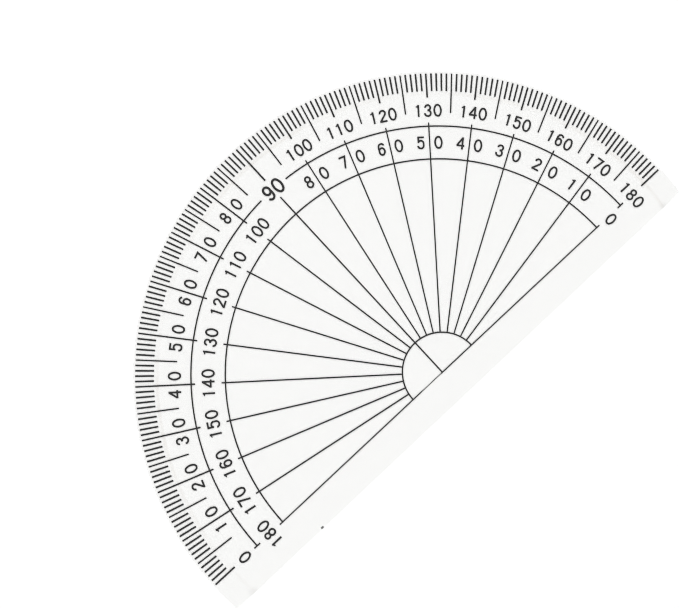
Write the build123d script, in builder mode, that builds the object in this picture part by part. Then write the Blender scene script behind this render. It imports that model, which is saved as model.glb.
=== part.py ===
"""A clear plastic half-round protractor, 0 to 180 degrees each way, 100 mm across.

One thin moulding carries a black print pressed into its flat back, which lies on the paper.
The origin is the vertex, the point that is set on the corner of an angle, on the back face.
+X runs along the baseline, +Y up the 90 degree line, +Z out of the bevelled front.
The outer scale reads 0 at -X, 90 at +Y and 180 at +X. The inner scale reads the other way.
"""

from build123d import *
import os
from math import atan2, degrees

# ---- The moulding, in millimetres ----
rim_radius = 50.0           # the protractor is 100 mm across
edge_drop = 5.1             # the straight edge lies this far below the baseline
plate_thickness = 1.2
rim_thickness = 0.5         # what the bevel leaves at the rim
bevel_start_radius = 46.3   # the crease where the flat front turns into the bevel
crease_round = 1.5          # radius of the soft crease
front_edge_round = 0.15     # the moulded edges of the front
gate_scar_x = -31.15        # where the plastic was let in, on the straight edge
gate_scar_width = 0.5
gate_scar_height = 0.36
gate_scar_depth = 0.3

# ---- The print ----
print_depth = 0.05          # how deep the hot-stamped print is pressed in
tick_width = 0.26
five_degree_width = 0.21
rim_line_width = 0.23
left_ray_width = 0.21
right_ray_width = 0.195
ninety_line_width = 0.215
arc_width = 0.215
baseline_width = 0.18

tick_outer_radius = 49.65
one_degree_inner_radius = 46.6
five_degree_inner_radius = 43.0
ten_degree_inner_radius = 45.6      # short, because a three-digit number stands under it
ninety_tick_inner_radius = 42.7
rim_line_inner_radius = 40.1        # 10 to 80: between the digits and over the outer arc
right_ray_outer_radius = 41.35      # 100 to 170: between the inner digits and over both arcs
left_ray_outer_radius = 35.85       # 10 to 80: over the inner arc only

outer_arc_radius = 40.74
inner_arc_radius = 35.22
centre_arc_radius = 6.53
ninety_gap_half_angle = 3.8         # the outer arc stops on each side of the big 90
ninety_line_top = 39.0

# ---- The numerals. Each stands on its own radius, with its top towards the rim ----
digit_height = 1.97           # from the middle of the top stroke to the middle of the foot
digit_stroke = 0.28
outer_number_radius = 43.36
inner_number_radius = 37.96
digit_pitch = 1.61                  # between the digits of a three-digit number
split_digit_offset = 1.45           # digits of a two-digit number stand astride their line
inner_zero_offset = 0.6             # the inner 0 stands a little past the baseline
ninety_height = 2.44
ninety_stroke = 0.36
ninety_radius = 40.73
ninety_digit_offset = 1.0


def scale_location(reading, radius, sideways=0.0):
    """The place on the outer scale at a reading, with +Y outwards and +X clockwise."""
    return Rotation(0, 0, 90 - reading) * Location((sideways, radius))


def radial_lines(readings, inner_radius, outer_radius, width):
    """Radial lines at the given readings of the outer scale."""
    with BuildSketch() as lines:
        for reading in readings:
            with Locations(scale_location(reading, (inner_radius + outer_radius) / 2)):
                Rectangle(width, outer_radius - inner_radius)
    return lines.sketch


def arc_band(radius):
    """A printed half circle that stands on the baseline."""
    with BuildSketch() as band:
        Circle(radius + arc_width / 2)
        Circle(radius - arc_width / 2, mode=Mode.SUBTRACT)
        with Locations((0, baseline_width / 2)):
            above_baseline = (Align.CENTER, Align.MIN)
            Rectangle(2 * rim_radius, rim_radius, align=above_baseline, mode=Mode.INTERSECT)
    return band.sketch


# ---- Digits, as the middle of their strokes. +1 is the top of a digit and -1 its foot ----
def oval(centre_y, half_width, half_height, end_radius, centre_x=0.0):
    """A closed oval of four arcs: a round top and bottom, and two long sides."""
    end_offset = half_height - end_radius
    side_radius = (half_width**2 + end_offset**2 - end_radius**2) / (2 * (half_width - end_radius))
    side_offset = side_radius - half_width
    half_turn = degrees(atan2(end_offset, side_offset))
    side_turn = 2 * half_turn
    end_turn = 180 - side_turn
    CenterArc((centre_x - side_offset, centre_y), side_radius, -half_turn, side_turn)
    CenterArc((centre_x, centre_y + end_offset), end_radius, half_turn, end_turn)
    CenterArc((centre_x + side_offset, centre_y), side_radius, 180 - half_turn, side_turn)
    CenterArc((centre_x, centre_y - end_offset), end_radius, 180 + half_turn, end_turn)


def digit_0():
    with BuildLine() as ring:
        oval(0, 0.56, 0.945, 0.42)
    return [ring.line]


def digit_1():
    with BuildLine() as stem:
        Line((0.03, -1), (0.03, 1))
    return [stem.line]


def digit_2():
    with BuildLine() as body:
        bowl = CenterArc((-0.01, 0.48), 0.46, 184, -224)
        Line(bowl @ 1, (-0.56, -0.9))
    with BuildLine() as base:
        Line((-0.65, -0.91), (0.58, -0.91))
    return [body.line, base.line]


def digit_3():
    with BuildLine() as upper:
        CenterArc((-0.02, 0.505), 0.435, 178, -273)
    with BuildLine() as lower:
        CenterArc((-0.035, -0.43), 0.5, 95, -276)
    return [upper.line, lower.line]


def digit_4():
    with BuildLine() as slope:
        Line((0.25, 0.97), (-0.6, -0.36))
    with BuildLine() as bar:
        Line((-0.67, -0.37), (0.63, -0.37))
    with BuildLine() as stem:
        Line((0.29, -1), (0.29, 1.07))
    return [slope.line, bar.line, stem.line]


def digit_5():
    with BuildLine() as flag:
        Polyline((0.53, 0.965), (-0.43, 0.965), (-0.41, 0.03))
    with BuildLine() as bowl:
        shoulder = CenterArc((-0.04, -0.09), 0.48, 140, -140)
        side = Line(shoulder @ 1, (0.44, -0.45))
        CenterArc((-0.04, -0.45), 0.48, 0, -176)
    return [flag.line, bowl.line]


def hooked_digit(bowl_top):
    """A 6: a closed bowl below, and a hook over it that runs down into the bowl's left side."""
    bowl_foot = -0.935
    with BuildLine() as bowl:
        oval((bowl_top + bowl_foot) / 2, 0.455, (bowl_top - bowl_foot) / 2, 0.4)
    with BuildLine() as hook:
        top = CenterArc((0.02, 0.49), 0.45, 17, 148)
        JernArc(top @ 1, top % 1, 1.45, 30)
    return [bowl.line, hook.line]


def digit_6():
    return hooked_digit(bowl_top=0.23)


def digit_7():
    with BuildLine() as body:
        Polyline((-0.6, 0.97), (0.46, 0.97), (-0.14, -1))
    return [body.line]


def digit_8():
    with BuildLine() as upper:
        oval(0.505, 0.425, 0.44, 0.4, centre_x=-0.02)
    with BuildLine() as lower:
        oval(-0.435, 0.485, 0.5, 0.45, centre_x=-0.02)
    return [upper.line, lower.line]


def digit_9():
    return [line.rotate(Axis.Z, 180) for line in hooked_digit(bowl_top=0.17)]


digit_strokes = {
    "0": digit_0, "1": digit_1, "2": digit_2, "3": digit_3, "4": digit_4,
    "5": digit_5, "6": digit_6, "7": digit_7, "8": digit_8, "9": digit_9,
}


def flag_of_one(half_height):
    """The small hooked flag at the top of a 1."""
    tip_x, tip_low, tip_high = -0.4, 0.61, 0.77
    with BuildSketch() as flag:
        with BuildLine():
            under = Line((0, tip_low), (tip_x, tip_low))
            tip = Line(under @ 1, (tip_x, tip_high))
            hollow = ThreePointArc(tip @ 1, (-0.19, 0.85), (-0.06, 1))
            Polyline(hollow @ 1, (0, 1), under @ 0)
        make_face()
        scale(by=half_height)
    return flag.sketch


def digit_sketch(digit, height, stroke):
    """One printed digit, centred on the origin and standing along +Y."""
    with BuildSketch() as glyph:
        for line in digit_strokes[digit]():
            trace(line.scale(height / 2), line_width=stroke)
        if digit == "1":
            add(flag_of_one(height / 2))
    return glyph.sketch


small_digits = {digit: digit_sketch(digit, digit_height, digit_stroke) for digit in "012345678"}


def scale_numbers(labels, radius):
    """The numbers of one scale: labels maps a reading of the outer scale to what stands there."""
    with BuildSketch() as numbers:
        for reading, label in labels.items():
            if len(label) == 3:
                offsets = [-digit_pitch, 0, digit_pitch]
            elif len(label) == 2:
                offsets = [-split_digit_offset, split_digit_offset]
            else:
                offsets = [0 if reading == 0 else inner_zero_offset]
            for digit, offset in zip(label, offsets):
                with Locations(scale_location(reading, radius, offset)):
                    add(small_digits[digit])
    return numbers.sketch


# ---- The print, one part for each group of marks ----
left_tens = range(10, 90, 10)
right_tens = range(100, 180, 10)
numbered = [reading for reading in range(0, 181, 10) if reading != 90]

outer_arc_band = arc_band(outer_arc_radius)
inner_arc_band = arc_band(inner_arc_radius)
centre_arc_band = arc_band(centre_arc_radius)

with BuildPart() as one_degree_ticks:
    singles = [reading for reading in range(1, 180) if reading % 5]
    add(radial_lines(singles, one_degree_inner_radius, tick_outer_radius, tick_width))
    extrude(amount=print_depth)

with BuildPart() as five_degree_ticks:
    fives = range(5, 180, 10)
    add(radial_lines(fives, five_degree_inner_radius, tick_outer_radius, five_degree_width))
    extrude(amount=print_depth)

with BuildPart() as ten_degree_ticks:
    short_tens = [0, *right_tens, 180]
    add(radial_lines(short_tens, ten_degree_inner_radius, tick_outer_radius, tick_width))
    add(radial_lines([90], ninety_tick_inner_radius, tick_outer_radius, tick_width))
    extrude(amount=print_depth)

with BuildPart() as ten_degree_rim_lines:
    with BuildSketch():
        add(radial_lines(left_tens, rim_line_inner_radius, tick_outer_radius, rim_line_width))
        add(outer_arc_band, mode=Mode.SUBTRACT)
    extrude(amount=print_depth)

with BuildPart() as rays_10_to_80:
    with BuildSketch():
        add(radial_lines(left_tens, centre_arc_radius, left_ray_outer_radius, left_ray_width))
        add(inner_arc_band, mode=Mode.SUBTRACT)
        add(centre_arc_band, mode=Mode.SUBTRACT)
    extrude(amount=print_depth)

with BuildPart() as rays_100_to_170:
    with BuildSketch():
        add(radial_lines(right_tens, centre_arc_radius, right_ray_outer_radius, right_ray_width))
        add(outer_arc_band, mode=Mode.SUBTRACT)
        add(inner_arc_band, mode=Mode.SUBTRACT)
        add(centre_arc_band, mode=Mode.SUBTRACT)
    extrude(amount=print_depth)

with BuildPart() as outer_arc:
    with BuildSketch():
        add(outer_arc_band)
        with BuildLine():
            gap_reach = 2 * rim_radius
            left_edge = PolarLine((0, 0), gap_reach, 90 + ninety_gap_half_angle)
            right_edge = PolarLine((0, 0), gap_reach, 90 - ninety_gap_half_angle)
            Line(left_edge @ 1, right_edge @ 1)
        make_face(mode=Mode.SUBTRACT)
        # The arc ends in a short stroke along the baseline on each side.
        add(radial_lines([0, 180], rim_line_inner_radius, right_ray_outer_radius, arc_width))
    extrude(amount=print_depth)

with BuildPart() as inner_arc:
    add(inner_arc_band)
    extrude(amount=print_depth)

with BuildPart() as centre_arc:
    add(centre_arc_band)
    extrude(amount=print_depth)

with BuildPart() as baseline:
    with BuildSketch():
        Rectangle(2 * left_ray_outer_radius, baseline_width)
    extrude(amount=print_depth)

with BuildPart() as ninety_line:
    with BuildSketch():
        add(radial_lines([90], baseline_width / 2, ninety_line_top, ninety_line_width))
        add(inner_arc_band, mode=Mode.SUBTRACT)
        add(centre_arc_band, mode=Mode.SUBTRACT)
    extrude(amount=print_depth)

with BuildPart() as outer_numbers:
    add(scale_numbers({reading: str(reading) for reading in numbered}, outer_number_radius))
    extrude(amount=print_depth)

with BuildPart() as inner_numbers:
    add(scale_numbers({reading: str(180 - reading) for reading in numbered}, inner_number_radius))
    extrude(amount=print_depth)

with BuildPart() as ninety_number:
    with BuildSketch():
        for digit, offset in (("9", -ninety_digit_offset), ("0", ninety_digit_offset)):
            with Locations(scale_location(90, ninety_radius, offset)):
                add(digit_sketch(digit, ninety_height, ninety_stroke))
    extrude(amount=print_depth)

print_parts = {
    "one_degree_ticks": one_degree_ticks,
    "five_degree_ticks": five_degree_ticks,
    "ten_degree_ticks": ten_degree_ticks,
    "ten_degree_rim_lines": ten_degree_rim_lines,
    "rays_10_to_80": rays_10_to_80,
    "rays_100_to_170": rays_100_to_170,
    "outer_arc": outer_arc,
    "inner_arc": inner_arc,
    "centre_arc": centre_arc,
    "baseline": baseline,
    "ninety_line": ninety_line,
    "outer_numbers": outer_numbers,
    "inner_numbers": inner_numbers,
    "ninety_number": ninety_number,
}

# ---- The moulding: a bevelled disc cut off along the straight edge ----
with BuildPart() as plate:
    with BuildSketch(Plane.XZ):
        with BuildLine():
            Polyline(
                (0, 0),
                (rim_radius, 0),
                (rim_radius, rim_thickness),
                (bevel_start_radius, plate_thickness),
                (0, plate_thickness),
                close=True,
            )
        make_face()
    revolve(axis=Axis.Z)
    back_rim, front_rim, crease = plate.edges().filter_by(GeomType.CIRCLE).group_by(Axis.Z)
    fillet(crease, radius=crease_round)
    fillet(front_rim, radius=front_edge_round)
    with BuildSketch(Plane.YZ) as side_view:
        with Locations((-edge_drop, 0)):
            reach = edge_drop + rim_radius
            Rectangle(reach, plate_thickness, align=(Align.MIN, Align.MIN))
        front_corner = side_view.vertices().group_by(Axis.X)[0].sort_by(Axis.Y)[-1]
        fillet(front_corner, radius=front_edge_round)
    extrude(amount=rim_radius, both=True, mode=Mode.INTERSECT)
    with BuildSketch(Plane.XZ.offset(edge_drop)):
        with Locations((gate_scar_x, plate_thickness / 2)):
            SlotOverall(gate_scar_width, gate_scar_height)
    extrude(amount=-gate_scar_depth, mode=Mode.SUBTRACT)
    for piece in print_parts.values():
        add(piece.part, mode=Mode.SUBTRACT)

os.makedirs("parts", exist_ok=True)
for name, piece in {"plate": plate, **print_parts}.items():
    piece.part.label = name
    export_step(piece.part, f"parts/{name}.step")
    print(name, len(piece.part.solids()), "solids", round(piece.part.volume, 3), "mm3")
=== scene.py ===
"""A clear plastic half-round protractor lying on a white table, in soft studio light.

The CAD frame has its origin at the vertex of the scales, on the back face, with +X along the
baseline, +Y up the 90 degree line and +Z out of the bevelled front. The outer scale reads 0 at
-X and 180 at +X. Everything is in metres.
"""

from math import asin, cos, degrees, pi, radians, sin, sqrt, tan

import bmesh
import bpy
from mathutils import Matrix, Vector


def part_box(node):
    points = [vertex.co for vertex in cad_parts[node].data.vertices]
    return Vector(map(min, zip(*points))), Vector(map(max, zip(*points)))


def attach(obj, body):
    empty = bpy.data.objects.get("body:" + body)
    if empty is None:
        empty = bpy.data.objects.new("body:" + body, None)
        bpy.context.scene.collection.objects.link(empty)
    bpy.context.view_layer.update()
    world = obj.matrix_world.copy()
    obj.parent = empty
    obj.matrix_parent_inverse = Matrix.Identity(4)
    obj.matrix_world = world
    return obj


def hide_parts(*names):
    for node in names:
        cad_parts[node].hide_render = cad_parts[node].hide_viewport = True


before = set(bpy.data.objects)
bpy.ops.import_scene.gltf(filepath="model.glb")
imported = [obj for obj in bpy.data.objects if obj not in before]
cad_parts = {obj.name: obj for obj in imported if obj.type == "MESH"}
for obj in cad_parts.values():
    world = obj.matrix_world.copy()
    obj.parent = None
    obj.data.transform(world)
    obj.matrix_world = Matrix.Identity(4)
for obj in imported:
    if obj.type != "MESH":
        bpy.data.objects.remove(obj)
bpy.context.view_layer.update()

MM = 0.001

# ---- Sizes that the CAD model gives ----
plate_low, plate_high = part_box("plate")
rim_radius = plate_high.x
edge_drop = -plate_low.y
plate_thickness = plate_high.z
print_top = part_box("baseline")[1].z             # the thickness of the print
tick_outer_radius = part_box("ten_degree_ticks")[1].y
baseline_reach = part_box("baseline")[1].x
baseline_half_width = 0.09 * MM
ninety_line_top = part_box("ninety_line")[1].y

# ---- The moulding ----
rim_thickness = 0.5 * MM                        # what the bevel leaves at the rim
bevel_start_radius = 46.3 * MM
crease_round = 1.5 * MM
front_edge_round = 0.15 * MM
crease_steps, edge_steps = 8, 5                 # faces round the crease, and round an edge
flat_front_radius = 45.9 * MM                   # the bevel's crease has not begun yet here
# The clear back stands just above the print, because ink in touch with it would soak up the light
# that is piped along inside. With that or with few bounces, the bevel turns dark from low down.
back_height = print_top + 0.002 * MM
column_turn = radians(0.5)                      # between two columns of the rim's mesh
crease_radius = 46.1 * MM
crease_end = Vector((sqrt(crease_radius**2 - edge_drop**2), -edge_drop))
plastic_ior = 1.59                              # polystyrene
smooth_below = radians(30)                      # edges between flatter faces are shaded smooth
gate_scar = Vector((-31.15 * MM, -edge_drop, plate_thickness / 2))
gate_scar_width = 0.5 * MM
gate_scar_height = 0.36 * MM
gate_scar_depth = 0.3 * MM
gate_scar_end_step = 15                         # degrees between points of its round ends

# ---- The lines of the print ----
tick_width = 0.26 * MM
five_degree_width = 0.21 * MM
rim_line_width = 0.23 * MM
left_ray_width = 0.21 * MM
right_ray_width = 0.195 * MM
ninety_line_width = 0.215 * MM
arc_width = 0.215 * MM
corner_round = 0.04 * MM                        # the ink rounds off at the end of a line
arc_step = 0.5                                  # degrees between the points of a printed arc

one_degree_inner_radius = 46.6 * MM
five_degree_inner_radius = 43.0 * MM
ten_degree_inner_radius = 45.6 * MM
ninety_tick_inner_radius = 42.7 * MM
rim_line_inner_radius = 40.1 * MM
right_ray_outer_radius = 41.35 * MM
left_ray_outer_radius = 35.85 * MM
outer_arc_radius = 40.74 * MM
inner_arc_radius = 35.22 * MM
centre_arc_radius = 6.53 * MM
arc_radii = (centre_arc_radius, inner_arc_radius, outer_arc_radius)
ninety_gap_half_angle = 3.8                     # degrees

# The baseline is worn thin over a short stretch, just left of the vertex.
worn_from, worn_to = -4.2 * MM, -0.45 * MM
worn_taper = 0.7 * MM
worn_share = 0.5
# Where along the worn stretch, and how wide as a share of the worn width.
worn_waves = ((worn_from, 1.15), (-3.3 * MM, 0.9), (-2.4 * MM, 1.1), (-1.5 * MM, 1), (worn_to, 1.2))

# ---- The numerals ----
digit_height = 1.97 * MM
digit_stroke = 0.28 * MM
outer_number_radius = 43.36 * MM
inner_number_radius = 37.96 * MM
digit_pitch = 1.61 * MM
split_digit_offset = 1.45 * MM
inner_zero_offset = 0.6 * MM
ninety_height = 2.44 * MM
ninety_stroke = 0.36 * MM
ninety_radius = 40.73 * MM
ninety_digit_offset = 1.0 * MM
digit_arc_step = 7                              # degrees between the points of a digit's arcs

# ---- The studio ----
softbox_distance = 3.0
softbox_elevation = 27                          # degrees above the table
softbox_size = 1.3
softbox_energy = 52.6
softbox_azimuths = (("softbox_right", 30), ("softbox_far", 118), ("softbox_near", 245))
table_reach = 1.5
table_height = -0.00002                         # a hair below the print

# The materials of the moulding, in the order that its faces count them.
CLEAR, EDGE, TORN = range(3)

left_tens = range(10, 90, 10)
right_tens = range(100, 180, 10)
numbered = [reading for reading in range(0, 181, 10) if reading != 90]


# ---------------------------------------------------------------- nodes
def new_material(name):
    """An empty node material and its tree."""
    material = bpy.data.materials.new(name)
    material.use_nodes = True
    material.node_tree.nodes.clear()
    return material, material.node_tree


def add_node(tree, kind, inputs=None, **settings):
    """A node with its settings and inputs. An input is a plain value or another node's output."""
    node = tree.nodes.new(kind)
    for key, value in settings.items():
        setattr(node, key, value)
    for key, value in (inputs or {}).items():
        if isinstance(value, bpy.types.NodeSocket):
            tree.links.new(value, node.inputs[key])
        else:
            node.inputs[key].default_value = value
    return node


def noise(tree, position, scale, detail=3.0, roughness=0.5):
    """The factor of a noise texture."""
    inputs = {"Vector": position, "Scale": scale, "Detail": detail, "Roughness": roughness}
    return add_node(tree, "ShaderNodeTexNoise", inputs).outputs[0]


def remap(tree, value, from_low, from_high, to_low, to_high, smooth=False):
    """A value brought from one range to another, held at both ends."""
    inputs = {
        "Value": value, "From Min": from_low, "From Max": from_high,
        "To Min": to_low, "To Max": to_high,
    }
    kind = "SMOOTHSTEP" if smooth else "LINEAR"
    return add_node(tree, "ShaderNodeMapRange", inputs, interpolation_type=kind).outputs[0]


def maths(tree, operation, first, second=0.0):
    """A sum, a product or another operation on two values."""
    node = add_node(tree, "ShaderNodeMath", {0: first, 1: second}, operation=operation)
    return node.outputs[0]


def blend_colours(tree, share, first, second):
    """The first colour where share is 0 and the second where it is 1."""
    # A Mix node has sockets for every type of data. These are the factor and the two colours.
    inputs = {0: share, 6: first, 7: second}
    return add_node(tree, "ShaderNodeMix", inputs, data_type="RGBA").outputs[2]


# ---------------------------------------------------------------- materials
def light_passes(tree, plastic):
    """Mixes plastic with a clear stand-in, so that light goes on to the table behind it."""
    passing = add_node(
        tree, "ShaderNodeBsdfTransparent", {"Color": (0.996, 0.996, 0.995, 1)}
    ).outputs[0]
    rays = add_node(tree, "ShaderNodeLightPath").outputs
    shown = add_node(
        tree, "ShaderNodeMixShader", {0: rays["Is Diffuse Ray"], 1: plastic, 2: passing}
    ).outputs[0]
    shown = add_node(
        tree, "ShaderNodeMixShader", {0: rays["Is Shadow Ray"], 1: shown, 2: passing}
    ).outputs[0]
    add_node(tree, "ShaderNodeOutputMaterial", {"Surface": shown})


def distance_from(tree, position, point):
    """How far each place on the surface is from a point."""
    return add_node(
        tree, "ShaderNodeVectorMath", {0: position, 1: point}, operation="DISTANCE"
    ).outputs["Value"]


def clear_plastic():
    """Polystyrene: clear, a little warm, with fine rubs, and painted shade in patches along the
    crease and at its ends.
    """
    material, tree = new_material("clear_plastic")
    position = add_node(tree, "ShaderNodeTexCoord").outputs["Object"]

    in_plane = add_node(
        tree, "ShaderNodeVectorMath", {0: position, 1: (1, 1, 0)}, operation="MULTIPLY"
    ).outputs[0]
    off_crease = maths(
        tree, "ABSOLUTE",
        maths(tree, "SUBTRACT", distance_from(tree, in_plane, (0, 0, 0)), crease_radius),
    )
    painted_crease_shade = remap(tree, off_crease, 0.08 * MM, 0.4 * MM, 1.0, 0.0, smooth=True)
    patches = remap(tree, noise(tree, position, 260.0), 0.35, 0.65, 0.3, 1.0)
    stretches = remap(tree, noise(tree, position, 34.0, 1.0), 0.4, 0.6, 0.25, 1.0)
    painted_crease_shade = maths(tree, "MULTIPLY", painted_crease_shade, maths(tree, "MULTIPLY", patches, stretches))
    # Painted shade: the crease band turns darker and warmer, in patches, for the light that the
    # bevel bends away from the table under it.
    colour = blend_colours(tree, painted_crease_shade, (0.995, 0.995, 0.985, 1), (0.90, 0.88, 0.85, 1))

    # Each end of the crease has a greyer smudge of painted shade, where the crease runs into the
    # straight edge.
    for side in (-1, 1):
        corner = (side * crease_end.x, crease_end.y, plate_thickness)
        reach = maths(
            tree, "ADD", distance_from(tree, position, corner),
            maths(tree, "MULTIPLY", noise(tree, position, 1500.0), 0.9 * MM),
        )
        painted_corner_shade = remap(tree, reach, 0.5 * MM, 1.8 * MM, 1.0, 0.0, smooth=True)
        # Painted shade at the crease's end, where the bevel bends light away from the table.
        colour = blend_colours(tree, painted_corner_shade, colour, (0.84, 0.83, 0.82, 1))

    # Rubs: streaks much longer than they are wide, in two directions, on a slow wave of sink.
    streaks = []
    for turn, length_scale, width_scale in ((25, 60, 2600), (-52, 45, 3400)):
        stretched = add_node(
            tree, "ShaderNodeMapping",
            {"Vector": position, "Rotation": (0, 0, radians(turn)),
             "Scale": (length_scale, width_scale, 1)},
        ).outputs[0]
        streaks.append(remap(tree, noise(tree, stretched, 1.0, 2.0), 0.62, 0.74, 0.0, 1.0))
    rubs = maths(tree, "MAXIMUM", *streaks)
    height = maths(
        tree, "ADD", maths(tree, "MULTIPLY", rubs, -0.02), noise(tree, position, 90.0, 1.0)
    )
    bump = add_node(
        tree, "ShaderNodeBump", {"Strength": 0.25, "Distance": 0.02 * MM, "Height": height}
    ).outputs[0]
    plastic = add_node(
        tree, "ShaderNodeBsdfPrincipled",
        {"Base Color": colour, "Roughness": remap(tree, rubs, 0.0, 1.0, 0.02, 0.07),
         "IOR": plastic_ior, "Transmission Weight": 1.0, "Normal": bump},
    ).outputs[0]
    light_passes(tree, plastic)
    return material


def matt_plastic(name, tone, transmission, roughness, grain_scale):
    """The same plastic where the mould or a tear left it matt."""
    material, tree = new_material(name)
    position = add_node(tree, "ShaderNodeTexCoord").outputs["Object"]
    grain = noise(tree, position, grain_scale, 4.0)
    colour = blend_colours(tree, grain, tuple(0.9 * c for c in tone[:3]) + (1,), tone)
    bump = add_node(
        tree, "ShaderNodeBump", {"Strength": 0.5, "Distance": 0.02 * MM, "Height": grain}
    ).outputs[0]
    low, high = roughness
    plastic = add_node(
        tree, "ShaderNodeBsdfPrincipled",
        {"Base Color": colour, "Roughness": remap(tree, grain, 0.3, 0.7, low, high),
         "IOR": plastic_ior, "Transmission Weight": transmission, "Normal": bump},
    ).outputs[0]
    light_passes(tree, plastic)
    return material


def black_foil():
    """Hot-stamping foil: deep black, with a fine uneven gloss where it was pressed on."""
    material, tree = new_material("black_foil")
    position = add_node(tree, "ShaderNodeTexCoord").outputs["Object"]
    press = noise(tree, position, 1400.0, 4.0)
    grain = noise(tree, position, 9000.0, 2.0)
    colour = blend_colours(
        tree, remap(tree, press, 0.3, 0.75, 0.0, 1.0),
        (0.004, 0.004, 0.0045, 1), (0.016, 0.016, 0.017, 1),
    )
    bump = add_node(
        tree, "ShaderNodeBump", {"Strength": 0.3, "Distance": 0.01 * MM, "Height": grain}
    ).outputs[0]
    foil = add_node(
        tree, "ShaderNodeBsdfPrincipled",
        {"Base Color": colour, "Roughness": remap(tree, press, 0.3, 0.7, 0.32, 0.5),
         "Specular IOR Level": 0.4, "Normal": bump},
    ).outputs[0]
    add_node(tree, "ShaderNodeOutputMaterial", {"Surface": foil})
    return material


def table_top():
    """Plain white paper."""
    material, tree = new_material("table_paper")
    position = add_node(tree, "ShaderNodeTexCoord").outputs["Object"]
    fibre = noise(tree, position, 900.0, 4.0)
    colour = blend_colours(tree, fibre, (0.885, 0.885, 0.885, 1), (0.895, 0.895, 0.895, 1))
    paper = add_node(
        tree, "ShaderNodeBsdfPrincipled",
        {"Base Color": colour, "Roughness": 0.9, "Specular IOR Level": 0.0},
    ).outputs[0]
    add_node(tree, "ShaderNodeOutputMaterial", {"Surface": paper})
    return material


# ---------------------------------------------------------------- meshes
def new_piece(name, mesh, material, stands_for):
    """Turns a bmesh into a piece of the object that stands for a CAD node."""
    bmesh.ops.recalc_face_normals(mesh, faces=mesh.faces)
    data = bpy.data.meshes.new(name)
    mesh.to_mesh(data)
    mesh.free()
    data.materials.append(material)
    piece = bpy.data.objects.new(name, data)
    bpy.context.collection.objects.link(piece)
    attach(piece, "root")
    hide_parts(stands_for)
    return piece


def print_piece(name, mesh):
    """A group of printed marks. It stands for the CAD node that has its name without the end."""
    return new_piece(name, mesh, foil, name.removesuffix("_print"))


def rounded(before, corner, after, radius, steps):
    """Points along the arc that rounds off the corner of a 2D outline, from before to after."""
    before, corner, after = Vector(before), Vector(corner), Vector(after)
    back, onward = (before - corner).normalized(), (after - corner).normalized()
    half_angle = back.angle(onward) / 2
    reach = radius / tan(half_angle)
    centre = corner + (back + onward).normalized() * radius / sin(half_angle)
    first, last = corner + back * reach - centre, corner + onward * reach - centre
    turn = last.angle_signed(first)
    points = []
    for step in range(steps + 1):
        points.append(centre + Matrix.Rotation(turn * step / steps, 2) @ first)
    return points


def add_strip(mesh, left, right, low, high, closed=False):
    """Adds a flat strip between two rows of points, as one closed solid from low to high."""
    rows = []
    for side, height in ((left, low), (left, high), (right, high), (right, low)):
        rows.append([mesh.verts.new((x, y, height)) for x, y in side])
    count = len(rows[0])
    for step in range(count if closed else count - 1):
        onward = (step + 1) % count
        for row, beside in zip(rows, rows[1:] + rows[:1]):
            mesh.faces.new((row[step], row[onward], beside[onward], beside[step]))
    if not closed:
        mesh.faces.new([row[0] for row in rows])
        mesh.faces.new([row[-1] for row in reversed(rows)])


def line_sections(length, width, soft_start, soft_end):
    """Pairs of (distance along a line, half its width there), with its soft ends rounded."""
    half = width / 2
    corner = []
    for turn in (90, 60, 30, 0):
        along = corner_round * (1 - sin(radians(turn)))
        corner.append((along, half - corner_round * (1 - cos(radians(turn)))))
    start = corner if soft_start else [(0, half)]
    end = [(length - along, h) for along, h in reversed(corner)] if soft_end else [(length, half)]
    return start + end


def add_radial_line(mesh, reading, inner, outer, width, crossed_arcs=()):
    """Adds a radial line at a reading of the outer scale, broken where arcs cross it."""
    outward = Vector((-cos(radians(reading)), sin(radians(reading))))
    across = Vector((outward.y, -outward.x))
    stops = [inner]
    for radius in crossed_arcs:
        if inner < radius < outer:
            stops += [radius - arc_width / 2, radius + arc_width / 2]
    stops.append(outer)
    for start, end in zip(stops[::2], stops[1::2]):
        sections = line_sections(end - start, width, start == inner, end == outer)
        left = [outward * (start + along) - across * half for along, half in sections]
        right = [outward * (start + along) + across * half for along, half in sections]
        add_strip(mesh, left, right, 0, print_top)


def radial_lines(name, groups, crossed_arcs=()):
    """A piece of radial lines. Each group is (readings, inner radius, outer radius, width)."""
    mesh = bmesh.new()
    for readings, inner, outer, width in groups:
        for reading in readings:
            add_radial_line(mesh, reading, inner, outer, width, crossed_arcs)
    return print_piece(name, mesh)


def add_arc(mesh, radius, start, end):
    """Adds an arc about the vertex between two directions, in degrees from +X."""
    steps = max(2, round((end - start) / arc_step))
    turns = [radians(start + (end - start) * step / steps) for step in range(steps + 1)]
    inner, outer = (
        [(edge * cos(turn), edge * sin(turn)) for turn in turns]
        for edge in (radius - arc_width / 2, radius + arc_width / 2)
    )
    add_strip(mesh, inner, outer, 0, print_top)


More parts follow.
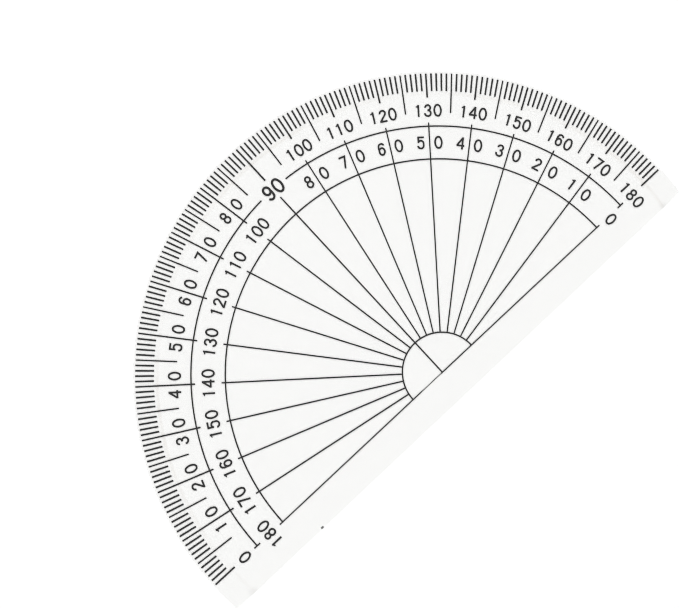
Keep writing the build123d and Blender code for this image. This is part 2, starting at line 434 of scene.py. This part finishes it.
# ---------------------------------------------------------------- the moulding
def plate_mesh():
    """The moulding: a bevelled disc cut off along a straight edge, with every front edge rounded.

    Rings of points follow the section of the rim from the flat front to the flat back. Each ring
    ends on the straight edge, and its last few points there step down the edge's own rounding.
    """
    flat, bevel = (0, plate_thickness), (bevel_start_radius, plate_thickness)
    rim, foot = (rim_radius, rim_thickness), (rim_radius, back_height)
    front = [Vector((flat_front_radius, plate_thickness))]
    front += rounded(flat, bevel, rim, crease_round, crease_steps)
    front += rounded(bevel, rim, foot, front_edge_round, edge_steps)
    section = [(point.x, point.y, point.y) for point in front]
    section.append((rim_radius, back_height, rim_thickness))
    section.append((flat_front_radius, back_height, plate_thickness))

    steps_down = rounded((1, 0), (0, 0), (0, -1), front_edge_round, edge_steps)
    edge_rows = [(point.x, -point.y) for point in reversed(steps_down)]

    mesh = bmesh.new()
    columns = round(pi / column_turn)
    rings = []
    for radius, height, front_height in section:
        turns, heights = [], []
        for inset, drop in edge_rows:
            turns.append(asin((inset - edge_drop) / radius))
            share = 1 - drop / front_height
            heights.append(back_height + (height - back_height) * share)
        first = turns[-1]
        inner_turns = [first + (pi - 2 * first) * step / columns for step in range(1, columns)]
        all_turns = turns + inner_turns + [pi - turn for turn in reversed(turns)]
        all_heights = heights + [height] * len(inner_turns) + heights[::-1]
        rings.append([
            mesh.verts.new((radius * cos(turn), radius * sin(turn), z))
            for turn, z in zip(all_turns, all_heights)
        ])
    smooth = []
    for ring, outside in zip(rings, rings[1:]):
        for step in range(len(ring) - 1):
            corners = (ring[step], ring[step + 1], outside[step + 1], outside[step])
            smooth.append(mesh.faces.new(corners))
            smooth[-1].material_index = EDGE if ring is rings[-3] else CLEAR
    inside, last_row = rings[0], len(edge_rows) - 1
    for row in range(last_row):
        corners = (inside[row], inside[row + 1], inside[-row - 2], inside[-row - 1])
        smooth.append(mesh.faces.new(corners))
    for face in smooth:
        face.smooth = True
    mesh.faces.new(inside[last_row:len(inside) - last_row])
    mesh.faces.new(rings[-1])
    wall = mesh.faces.new([ring[0] for ring in rings] + [ring[-1] for ring in reversed(rings)])
    wall.material_index = EDGE
    bmesh.ops.recalc_face_normals(mesh, faces=mesh.faces)
    for edge in mesh.edges:
        edge.smooth = edge.calc_face_angle(0) < smooth_below
    return mesh


def cut_gate_scar(plate):
    """Cuts the shallow scar, where the plastic was let in, out of the straight edge."""
    mesh = bmesh.new()
    outline = []
    radius = gate_scar_height / 2
    for side, start in ((1, -90), (-1, 90)):
        centre_x = side * (gate_scar_width / 2 - radius)
        for step in range(180 // gate_scar_end_step + 1):
            turn = radians(start + gate_scar_end_step * step)
            outline.append((centre_x + radius * cos(turn), radius * sin(turn)))
    ends = []
    for depth in (-gate_scar_depth, gate_scar_depth):
        ends.append([mesh.verts.new(gate_scar + Vector((x, depth, z))) for x, z in outline])
    for end in ends:
        mesh.faces.new(end)
    for step in range(len(outline)):
        mesh.faces.new((ends[0][step - 1], ends[0][step], ends[1][step], ends[1][step - 1]))
    for face in mesh.faces:
        face.material_index = TORN
    bmesh.ops.recalc_face_normals(mesh, faces=mesh.faces)
    combine(plate, mesh, "DIFFERENCE")


def combine(target, mesh, operation):
    """Adds a closed mesh to an object, or takes it away, and keeps the result as plain mesh."""
    data = bpy.data.meshes.new("tool")
    mesh.to_mesh(data)
    mesh.free()
    tool = bpy.data.objects.new("tool", data)
    bpy.context.collection.objects.link(tool)
    modifier = target.modifiers.new("combine", "BOOLEAN")
    modifier.operation, modifier.object, modifier.solver = operation, tool, "EXACT"
    graph = bpy.context.evaluated_depsgraph_get()
    result = bpy.data.meshes.new_from_object(target.evaluated_get(graph))
    target.modifiers.remove(modifier)
    old = target.data
    target.data = result
    bpy.data.meshes.remove(old)
    bpy.data.objects.remove(tool)
    bpy.data.meshes.remove(data)


# ---------------------------------------------------------------- the numerals
# A stroke is (points along its middle, whether it closes on itself). A digit is 2 units tall,
# with its middle at the origin.
def arc_points(centre, radius, start, turn):
    """Points along an arc, from a direction in degrees, turning left where turn is positive."""
    steps = max(3, round(abs(turn) / digit_arc_step))
    points = []
    for step in range(steps + 1):
        direction = radians(start + turn * step / steps)
        points.append((centre[0] + radius * cos(direction), centre[1] + radius * sin(direction)))
    return points


def oval(centre_y, half_width, half_height, end_radius, centre_x=0.0):
    """A closed oval of four arcs: a round top and bottom, and two long sides."""
    end_offset = half_height - end_radius
    side_radius = (half_width**2 + end_offset**2 - end_radius**2) / (2 * (half_width - end_radius))
    side_offset = side_radius - half_width
    half_turn = degrees(Vector((1, 0)).angle(Vector((side_offset, end_offset))))
    arcs = (
        ((centre_x - side_offset, centre_y), side_radius, -half_turn, 2 * half_turn),
        ((centre_x, centre_y + end_offset), end_radius, half_turn, 180 - 2 * half_turn),
        ((centre_x + side_offset, centre_y), side_radius, 180 - half_turn, 2 * half_turn),
        ((centre_x, centre_y - end_offset), end_radius, 180 + half_turn, 180 - 2 * half_turn),
    )
    points = []
    for arc in arcs:
        points += arc_points(*arc)[:-1]
    return points, True


def hooked_digit(bowl_top):
    """A 6: a closed bowl below, and a hook over it that runs down into the bowl's left side."""
    bowl_foot = -0.935
    bowl = oval((bowl_top + bowl_foot) / 2, 0.455, (bowl_top - bowl_foot) / 2, 0.4)
    hook = arc_points((0.02, 0.49), 0.45, 17, 148)
    side_centre = (0.986, 0.231)                # its wider arc carries on where the hook stops
    hook += arc_points(side_centre, 1.45, 165, 30)[1:]
    return [bowl, (hook, False)]


def digit_strokes(digit):
    """The strokes of a digit."""
    if digit == "0":
        return [oval(0, 0.56, 0.945, 0.42)]
    if digit == "1":
        return [([(0.03, -1), (0.03, 1)], False)]
    if digit == "2":
        body = arc_points((-0.01, 0.48), 0.46, 184, -224) + [(-0.56, -0.9)]
        return [(body, False), ([(-0.65, -0.91), (0.58, -0.91)], False)]
    if digit == "3":
        upper = arc_points((-0.02, 0.505), 0.435, 178, -273)
        return [(upper, False), (arc_points((-0.035, -0.43), 0.5, 95, -276), False)]
    if digit == "4":
        slope, bar = [(0.25, 0.97), (-0.6, -0.36)], [(-0.67, -0.37), (0.63, -0.37)]
        return [(slope, False), (bar, False), ([(0.29, -1), (0.29, 1.07)], False)]
    if digit == "5":
        flag = [(0.53, 0.965), (-0.43, 0.965), (-0.41, 0.03)]
        bowl = arc_points((-0.04, -0.09), 0.48, 140, -140)
        bowl += arc_points((-0.04, -0.45), 0.48, 0, -176)
        return [(flag, False), (bowl, False)]
    if digit == "6":
        return hooked_digit(0.23)
    if digit == "7":
        return [([(-0.6, 0.97), (0.46, 0.97), (-0.14, -1)], False)]
    if digit == "8":
        upper = oval(0.505, 0.425, 0.44, 0.4, -0.02)
        return [upper, oval(-0.435, 0.485, 0.5, 0.45, -0.02)]
    strokes = []
    for points, closed in hooked_digit(0.17):
        strokes.append(([(-x, -y) for x, y in points], closed))
    return strokes


def add_stroke(mesh, points, closed, width):
    """Adds a pen stroke of one width along points, with mitred corners, from height 0 to 1."""
    points = [Vector(point) for point in points]
    if closed:
        before, after = points[-1:] + points[:-1], points[1:] + points[:1]
    else:
        before, after = points[:1] + points[:-1], points[1:] + points[-1:]
    left, right = [], []
    for a, b, c in zip(before, points, after):
        arriving = (b - a if b != a else c - b).normalized()
        leaving = (c - b if c != b else b - a).normalized()
        normals = [Vector((-way.y, way.x)) for way in (arriving, leaving)]
        mitre = (normals[0] + normals[1]) / (1 + normals[0].dot(normals[1]))
        left.append(b + mitre * width / 2)
        right.append(b - mitre * width / 2)
    add_strip(mesh, left, right, 0, 1, closed)


def add_flag_of_one(mesh):
    """Adds the small hooked flag at the top of a 1."""
    tip_x, tip_low, tip_high = -0.4, 0.61, 0.77
    hollow = [(tip_x, tip_high), (-0.29, 0.79), (-0.19, 0.85), (-0.11, 0.92), (-0.06, 1)]
    outline = [(0, tip_low), (tip_x, tip_low), *hollow, (0, 1)]
    low, high = ([mesh.verts.new((x, y, z)) for x, y in outline] for z in (0, 1))
    mesh.faces.new(low)
    mesh.faces.new(high)
    for step in range(len(outline)):
        mesh.faces.new((low[step - 1], low[step], high[step], high[step - 1]))


def digit_mesh(digit, stroke_width):
    """One digit as a single closed solid, 2 units tall and 1 thick."""
    parts = []
    for points, closed in digit_strokes(digit):
        part = bmesh.new()
        add_stroke(part, points, closed, stroke_width)
        parts.append(part)
    if digit == "1":
        flag = bmesh.new()
        add_flag_of_one(flag)
        parts.append(flag)
    for part in parts:
        bmesh.ops.recalc_face_normals(part, faces=part.faces)
    data = bpy.data.meshes.new("digit")
    parts[0].to_mesh(data)
    parts[0].free()
    carrier = bpy.data.objects.new("digit", data)
    bpy.context.collection.objects.link(carrier)
    for part in parts[1:]:
        combine(carrier, part, "UNION")
    result = carrier.data
    bpy.data.objects.remove(carrier)
    return result


def add_digit(mesh, digit, height, reading, radius, sideways):
    """Adds a digit at a reading of the outer scale, with its top towards the rim."""
    half = height / 2
    place = (
        Matrix.Rotation(radians(90 - reading), 4, "Z")
        @ Matrix.Translation((sideways, radius, 0))
        @ Matrix.Diagonal((half, half, print_top, 1))
    )
    old = set(mesh.verts)
    mesh.from_mesh(digit)
    fresh = [vertex for vertex in mesh.verts if vertex not in old]
    bmesh.ops.transform(mesh, matrix=place, verts=fresh)


def scale_numbers(name, digits, labels, radius):
    """The numbers of one scale: labels maps a reading of the outer scale to what stands there."""
    mesh = bmesh.new()
    for reading, label in labels.items():
        if len(label) == 3:
            offsets = [-digit_pitch, 0, digit_pitch]
        elif len(label) == 2:
            offsets = [-split_digit_offset, split_digit_offset]
        else:
            offsets = [0 if reading == 0 else inner_zero_offset]
        for digit, offset in zip(label, offsets):
            add_digit(mesh, digits[digit], digit_height, reading, radius, offset)
    return print_piece(name, mesh)


# ---------------------------------------------------------------- the print
def baseline():
    """The line through the vertex, worn thin over a short stretch."""
    half = baseline_half_width
    sections = [(-baseline_reach, half / 2), (-baseline_reach + corner_round, half)]
    sections.append((worn_from - worn_taper, half))
    sections += [(x, half * worn_share * share) for x, share in worn_waves]
    sections += [(0, half), (baseline_reach - corner_round, half), (baseline_reach, half / 2)]
    mesh = bmesh.new()
    left, right = [(x, h) for x, h in sections], [(x, -h) for x, h in sections]
    add_strip(mesh, left, right, 0, print_top)
    return print_piece("baseline_print", mesh)


def arc_piece(name, radius):
    """A whole half circle that stands on the baseline."""
    mesh = bmesh.new()
    foot = degrees(asin(baseline_half_width / radius))
    add_arc(mesh, radius, foot, 180 - foot)
    return print_piece(name, mesh)


def outer_arc():
    """The arc under the outer numbers, open at 90, with a short stroke along each end."""
    mesh = bmesh.new()
    foot = degrees(asin(arc_width / 2 / outer_arc_radius))
    add_arc(mesh, outer_arc_radius, foot, 90 - ninety_gap_half_angle)
    add_arc(mesh, outer_arc_radius, 90 + ninety_gap_half_angle, 180 - foot)
    for reading in (0, 180):
        add_radial_line(mesh, reading, rim_line_inner_radius, right_ray_outer_radius, arc_width)
    return print_piece("outer_arc_print", mesh)


def printed_marks():
    """Every printed mark on the back."""
    singles = [reading for reading in range(1, 180) if reading % 5]
    fives, short_tens = range(5, 180, 10), [0, *right_tens, 180]
    top = tick_outer_radius
    radial_lines("one_degree_ticks_print", [(singles, one_degree_inner_radius, top, tick_width)])
    radial_lines(
        "five_degree_ticks_print", [(fives, five_degree_inner_radius, top, five_degree_width)]
    )
    radial_lines(
        "ten_degree_ticks_print",
        [(short_tens, ten_degree_inner_radius, top, tick_width),
         ([90], ninety_tick_inner_radius, top, tick_width)],
    )
    radial_lines(
        "ten_degree_rim_lines_print",
        [(left_tens, rim_line_inner_radius, top, rim_line_width)], arc_radii,
    )
    ray_start = centre_arc_radius + arc_width / 2
    radial_lines(
        "rays_10_to_80_print",
        [(left_tens, ray_start, left_ray_outer_radius, left_ray_width)], arc_radii,
    )
    radial_lines(
        "rays_100_to_170_print",
        [(right_tens, ray_start, right_ray_outer_radius, right_ray_width)], arc_radii,
    )
    radial_lines(
        "ninety_line_print",
        [([90], baseline_half_width, ninety_line_top, ninety_line_width)], arc_radii,
    )
    outer_arc()
    arc_piece("inner_arc_print", inner_arc_radius)
    arc_piece("centre_arc_print", centre_arc_radius)
    baseline()

    small = {d: digit_mesh(d, 2 * digit_stroke / digit_height) for d in "012345678"}
    outer_labels = {reading: str(reading) for reading in numbered}
    inner_labels = {reading: str(180 - reading) for reading in numbered}
    scale_numbers("outer_numbers_print", small, outer_labels, outer_number_radius)
    scale_numbers("inner_numbers_print", small, inner_labels, inner_number_radius)
    ninety = bmesh.new()
    for digit, offset in (("9", -ninety_digit_offset), ("0", ninety_digit_offset)):
        shape = digit_mesh(digit, 2 * ninety_stroke / ninety_height)
        add_digit(ninety, shape, ninety_height, 90, ninety_radius, offset)
    print_piece("ninety_number_print", ninety)


# ---------------------------------------------------------------- studio
def add_floor():
    """The white table."""
    mesh = bmesh.new()
    signs = ((-1, -1), (1, -1), (1, 1), (-1, 1))
    mesh.faces.new([
        mesh.verts.new((x * table_reach, y * table_reach, table_height)) for x, y in signs
    ])
    data = bpy.data.meshes.new("table")
    mesh.to_mesh(data)
    mesh.free()
    data.materials.append(table_top())
    table = bpy.data.objects.new("table", data)
    bpy.context.collection.objects.link(table)


def add_lights():
    """Three soft lights low round the table, in a pale room that is dim overhead.

    The plastic doesn't mirror them or show them through its edges, because their bright squares
    would wash out the print. Its gloss comes from the room.
    """
    for name, azimuth in softbox_azimuths:
        light = bpy.data.lights.new(name, "AREA")
        light.shape, light.size, light.energy = "SQUARE", softbox_size, softbox_energy
        softbox = bpy.data.objects.new(name, light)
        turn, rise = radians(azimuth), radians(softbox_elevation)
        direction = Vector((cos(turn) * cos(rise), sin(turn) * cos(rise), sin(rise)))
        softbox.location = direction * softbox_distance
        softbox.rotation_mode = "QUATERNION"
        softbox.rotation_quaternion = (-direction).to_track_quat("-Z", "Y")
        bpy.context.collection.objects.link(softbox)
        softbox.visible_glossy = softbox.visible_transmission = False

    world = bpy.data.worlds.new("studio")
    bpy.context.scene.world = world
    world.use_nodes = True
    tree = world.node_tree
    tree.nodes.clear()
    direction = add_node(tree, "ShaderNodeTexCoord").outputs["Generated"]
    height = add_node(tree, "ShaderNodeSeparateXYZ", {0: direction}).outputs["Z"]
    colour = blend_colours(
        tree, remap(tree, height, 0.35, 0.65, 0.0, 1.0, smooth=True),
        (0.85, 0.85, 0.85, 1), (0.25, 0.25, 0.25, 1),
    )
    room = add_node(tree, "ShaderNodeBackground", {"Color": colour, "Strength": 1.0}).outputs[0]
    add_node(tree, "ShaderNodeOutputWorld", {"Surface": room})


def add_camera():
    """A camera almost straight above, turned so that the baseline runs up to the right."""
    data = bpy.data.cameras.new("camera")
    data.sensor_width, data.lens = 36.0, 52.85
    data.clip_start, data.clip_end = 0.01, 20.0
    camera = bpy.data.objects.new("camera", data)
    camera.location = (-0.017504, 0.015114, 0.1624)
    camera.rotation_euler = (radians(4.191), radians(-2.245), radians(-42.745))
    bpy.context.collection.objects.link(camera)
    bpy.context.scene.camera = camera


foil = black_foil()
plate = new_piece("moulded_plate", plate_mesh(), clear_plastic(), "plate")
plate.data.materials.append(
    matt_plastic("matt_edge", (0.95, 0.95, 0.94, 1), 0.6, (0.25, 0.45), 2500.0)
)
plate.data.materials.append(
    matt_plastic("torn_scar", (0.16, 0.16, 0.16, 1), 0.3, (0.5, 0.8), 7000.0)
)
cut_gate_scar(plate)
printed_marks()
add_floor()
add_lights()
add_camera()
scene = bpy.context.scene
scene.view_settings.view_transform = "Standard"
scene.cycles.filter_width = 1.0                 # pixels: a crisp lens
# Light that enters at an edge is mirrored many times between the front and the back.
cycles = scene.cycles
cycles.max_bounces = cycles.transmission_bounces = cycles.glossy_bounces = 160
